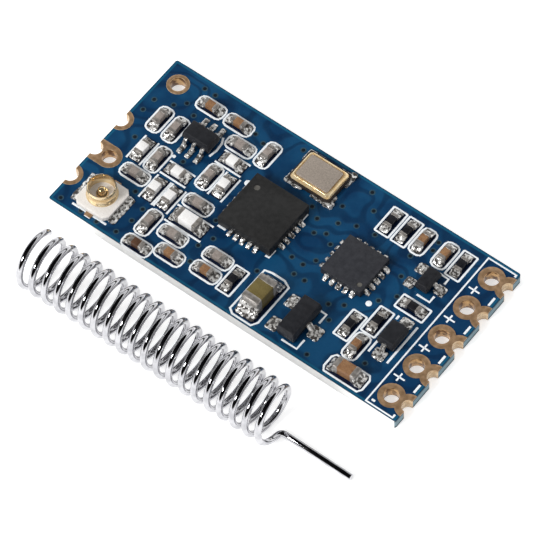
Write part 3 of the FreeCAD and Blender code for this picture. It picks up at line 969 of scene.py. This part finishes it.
# Strokes that follow no two-ended chip
closedMarks = [
    [(0.6, -2.62), (0.56, -5.98), (0.9, -6.22), (2.3, -6.22), (2.56, -5.8), (2.56, -2.75),
     (2.05, -2.5), (1.1, -2.5)],
    [(7.75, -6.1), (10.2, -6.1), (10.4, -5.8), (10.4, -5.05), (10.2, -4.76), (7.75, -4.76),
     (7.55, -5.05), (7.55, -5.8)],
]
openMarks = [
    [(-11.87, -5.8), (-9.2, -5.8)],
    [(-10.74, -5.92), (-10.28, -5.92)],
    [(-10.72, -6.02), (-10.3, -6.02)],
    [(-7.35, 3.5), (-7.15, 3.1), (-7.1, 2.5), (-7.2, 1.9)],
    [(0.0, -1.75), (0.26, -1.75), (0.26, -1.1)],
    [(0.26, 1.6), (0.26, 2.15)],
    [(-3.68, -1.75), (-3.07, -1.75)],
    [(4.96, -2.9), (5.54, -2.9), (5.54, -3.65)],
    [(4.4, -5.88), (5.54, -5.88), (5.54, -5.1)],
    [(9.16, 3.52), (9.97, 3.5), (9.97, 3.05)],
    [(9.05, 1.5), (10.0, 1.5), (10.0, 2.0)],
    [(9.1, -0.35), (9.1, -0.65)],
    [(9.1, -2.5), (9.1, -3.45)],
    [(10.49, -0.35), (10.49, -3.45)],
    [(13.1, 6.0), (13.1, 6.17), (11.02, 6.17), (11.02, -6.25), (13.0, -6.25), (13.0, -6.0)],
    [(11.25, -5.97), (11.5, -5.97)],
]
plusPlaces = [(11.66, 3.8), (11.66, 1.27), (11.66, -1.26), (11.66, -3.78)]
minusPlaces = [(13.0, 3.75), (13.0, 1.27), (13.0, -1.3), (13.0, -3.8)]
dotPlaces = [(-4.07, 1.75, 0.22), (-8.95, 0.6, 0.12), (7.11, -0.75, 0.2)]


def printLegend():
    strokes = [(closed, points, 1.0) for closed, points in chipOutlines()]
    strokes += [(True, points, 1.0) for points in closedMarks]
    strokes += [(False, points, 1.0) for points in openMarks]
    armX, armY = inkLook["plus"]
    for x, y in plusPlaces:
        strokes.append((False, [(x - armX, y), (x + armX, y)], inkLook["signWeight"]))
        strokes.append((False, [(x, y - armY), (x, y + armY)], inkLook["signWeight"]))
    arm = inkLook["minus"]
    for x, y in minusPlaces:
        strokes.append((False, [(x, y - arm), (x, y + arm)], 1.0))
    curve = bpy.data.curves.new("legend", "CURVE")
    curve.dimensions = "3D"
    curve.twist_mode = "Z_UP"
    curve.bevel_depth = inkLook["width"] / 2
    curve.bevel_resolution = 1
    curve.use_fill_caps = True
    for closed, points, weight in strokes:
        spline = curve.splines.new("POLY")
        spline.points.add(len(points) - 1)
        for point, (x, y) in zip(spline.points, points):
            point.co = (x, y, 0, 1)
            point.radius = weight
        spline.use_cyclic_u = closed
    legend = bpy.data.objects.new("legend", curve)
    bpy.context.collection.objects.link(legend)
    activate(legend)
    bpy.ops.object.convert(target="MESH")
    legend = bpy.context.object
    legend.scale = (1, 1, 2 * inkLook["height"] / inkLook["width"])
    pieces = [setDown(legend, 0, 0)]
    for x, y, radius in dotPlaces:
        dot = addDrum("dot", radius, boardTop - 0.01, boardTop + inkLook["height"], x, y, 32)
        pieces.append(rounded(dot, inkLook["dotEdge"]))
    whole = paint(joinAll(pieces), "legendInk")
    deliver(whole, [], "solder_mask", "PrintedLegend", 50)


printLegend()
print("legend printed")

# Vias: a dark hole closed by mask, with the copper ring showing through as a paler rim
viaLook = {"ring": 0.2, "hole": 0.12, "height": 0.008, "sink": 0.004}
viaPlaces = [
    (-12.58, 3.2), (-11.34, 3.59), (-10.75, 4.18), (-10.53, 5.71), (-9.7, 5.7), (-12.68, 2.2),
    (-9.84, 3.7), (-11.81, 0.29), (-8.26, 0.62), (-9.26, -2.84), (-8.1, -3.59), (-8.13, -4.63),
    (-8.4, -5.83), (-5.91, 4.9), (-5.09, 4.63), (-2.79, 5.72), (0.15, 2.74), (0.92, 2.24),
    (1.63, 3.87), (2.16, 2.73), (3.19, 3.23), (2.5, 5.76), (3.38, 4.73), (4.47, 3.4),
    (1.39, 1.3), (2.04, 1.69), (2.7, 1.23), (2.7, -0.22), (1.36, -0.88), (2.23, -0.91),
    (2.2, -1.77), (3.0, -1.76), (0.27, -2.94), (5.17, -2.23), (5.99, -1.73), (5.87, -3.11),
    (6.27, -5.82), (-3.74, -3.62), (-3.43, -4.82), (-3.98, -1.56), (-3.3, -2.7), (7.46, -0.23),
    (8.19, 0.66), (7.53, 1.96), (7.11, 3.46), (7.99, 4.59), (7.92, 5.25), (9.44, -4.23),
    (-12.69, -5.93), (-11.07, -5.93), (-9.82, -5.98),
]


def makeVias():
    via = addDrum("via", viaLook["ring"], 0.0, viaLook["height"], sides=24)
    paint(via, "viaRing", "viaDark")
    with editing(via):
        selectUpper(via)
        bpy.ops.mesh.inset(thickness=viaLook["ring"] - viaLook["hole"])
        repaint(via, 1)
        bpy.ops.transform.translate(value=(0, 0, -viaLook["sink"]))
    whole = joinAll([copyOf(via, (x, y, boardTop)) for x, y in viaPlaces])
    discard(via)
    deliver(whole, [], "solder_mask", "Vias")


makeVias()
print("vias made")

# Mask over bare laminate, a darker blue between the two-ended chips and their outlines
clearanceLook = {"past": 0.14, "aside": 0.36, "height": 0.006, "edge": 0.004}


def makeClearances():
    look, plates = clearanceLook, []
    for node, kindName, _ in chipNodes():
        x, y, turn = seatOf(node)
        kind = chipKinds[kindName]
        reach = kind["length"] + 2 * kind["solder"] + look["past"]
        plate = addBlock("clearance", (reach, kind["width"] + look["aside"], look["height"]),
                         (0, 0, look["height"] / 2))
        plates.append(setDown(plate, x, y, turn=turn))
    for plate in plates:
        with editing(plate):
            selectUpper(plate)
            bpy.ops.mesh.bevel(offset=look["edge"], segments=1)
    deliver(paint(joinAll(plates), "bareMask"), [], "solder_mask", "Clearances")


makeClearances()
print("clearances made")

# Camera, at the angle of the photograph
cameraLook = {"azimuth": 40.477, "elevation": 58.183, "roll": -3.374, "distance": 257.27,
              "lens": 284.6, "sensor": 36, "clip": (0.01, 20), "aside": -1.005, "above": -1.872}


def addCamera():
    look = cameraLook
    azimuth, elevation, roll = (math.radians(look[key]) for key in ("azimuth", "elevation", "roll"))
    forward = Vector((-math.sin(azimuth) * math.cos(elevation),
                      math.cos(azimuth) * math.cos(elevation), -math.sin(elevation)))
    level = Vector((math.cos(azimuth), math.sin(azimuth), 0))
    right = level * math.cos(roll) + level.cross(forward) * math.sin(roll)
    up = right.cross(forward)
    aim = Vector((0, 0, boardTop)) + right * look["aside"] + up * look["above"]
    deselectAll()
    bpy.ops.object.camera_add(location=(aim - forward * look["distance"]) * mm)
    camera = bpy.context.object
    camera.rotation_mode = "QUATERNION"
    camera.rotation_quaternion = Matrix((right, up, -forward)).transposed().to_quaternion()
    camera.data.lens = look["lens"]
    camera.data.sensor_width = look["sensor"]
    camera.data.clip_start, camera.data.clip_end = look["clip"]
    bpy.context.scene.camera = camera


addCamera()

# Floor, studio walls and light, in metres
stageLook = {"floor": tint(235, 235, 235), "floorSize": 8, "floorDrop": 0.00002, "lift": 0.55,
             "sky": 0.55, "screen": tint(22, 22, 24), "screenPlace": (-0.03, -0.2, 0.565),
             "screenRadius": 1.28, "bandRadius": 2.0, "band": (0.45, 0.8)}


def hideButFromGlossy(obj):
    for ray in ("camera", "diffuse", "shadow", "transmission", "volume_scatter"):
        setattr(obj, "visible_" + ray, False)


def addStage():
    look = stageLook
    deselectAll()
    bpy.ops.mesh.primitive_plane_add(size=look["floorSize"], location=(0, 0, -look["floorDrop"]))
    floor = newest("studioFloor")
    pale = Finish("studioFloor", Roughness=0.9, Base_Color=look["floor"], Specular_IOR_Level=0.0,
                  Emission_Strength=1.0)
    finishes["studioFloor"] = pale.finish(Emission_Color=pale.seenDirectly() * look["lift"])
    paint(floor, "studioFloor")

    # A dark screen behind the camera, which only shiny surfaces see
    finishes["studioScreen"] = Finish("studioScreen", Roughness=1.0, Base_Color=look["screen"],
                                      Specular_IOR_Level=0.0).material
    deselectAll()
    bpy.ops.mesh.primitive_circle_add(vertices=64, radius=look["screenRadius"], fill_type="NGON")
    screen = bpy.context.object
    screen.name = "studioScreen"
    screen.location = look["screenPlace"]
    screen.rotation_euler = Vector(look["screenPlace"]).to_track_quat("Z", "Y").to_euler()
    paint(freeze(screen), "studioScreen")
    hideButFromGlossy(screen)

    # A dark band round the horizon, also for shiny surfaces only
    deselectAll()
    bandLow, bandHigh = look["band"]
    bpy.ops.mesh.primitive_cylinder_add(vertices=64, radius=look["bandRadius"],
                                        depth=bandHigh - bandLow, end_fill_type="NOTHING",
                                        location=(0, 0, (bandHigh + bandLow) / 2))
    band = newest("studioBand")
    paint(band, "studioScreen")
    hideButFromGlossy(band)

    world = bpy.data.worlds.new("studio")
    bpy.context.scene.world = world
    world.use_nodes = True
    air = Graph(world.node_tree)
    background = air.tree.nodes["Background"]
    air.put(background.inputs["Strength"],
            air.seenDirectly() * (1 - look["sky"]) + look["sky"])
    background.inputs["Color"].default_value = (1, 1, 1, 1)


lamps = {
    "keyLamp": {"place": (-0.19, -0.42, 0.33), "size": 0.36, "watts": 1.85, "inReflections": False},
    "glintLamp": {"place": (-0.16, -0.4, 0.36), "size": 0.11, "watts": 0.9, "inReflections": True},
}


def addLamps():
    for name, lamp in lamps.items():
        deselectAll()
        bpy.ops.object.light_add(type="AREA", location=lamp["place"])
        light = bpy.context.object
        light.name = name
        light.data.size = lamp["size"]
        light.data.energy = lamp["watts"]
        light.visible_glossy = lamp["inReflections"]
        toward = Vector((0, 0, 0)) - Vector(lamp["place"])
        light.rotation_euler = toward.to_track_quat("-Z", "Y").to_euler()


addStage()
addLamps()
bpy.context.scene.view_settings.view_transform = "Standard"
print("camera, stage and lamps set")
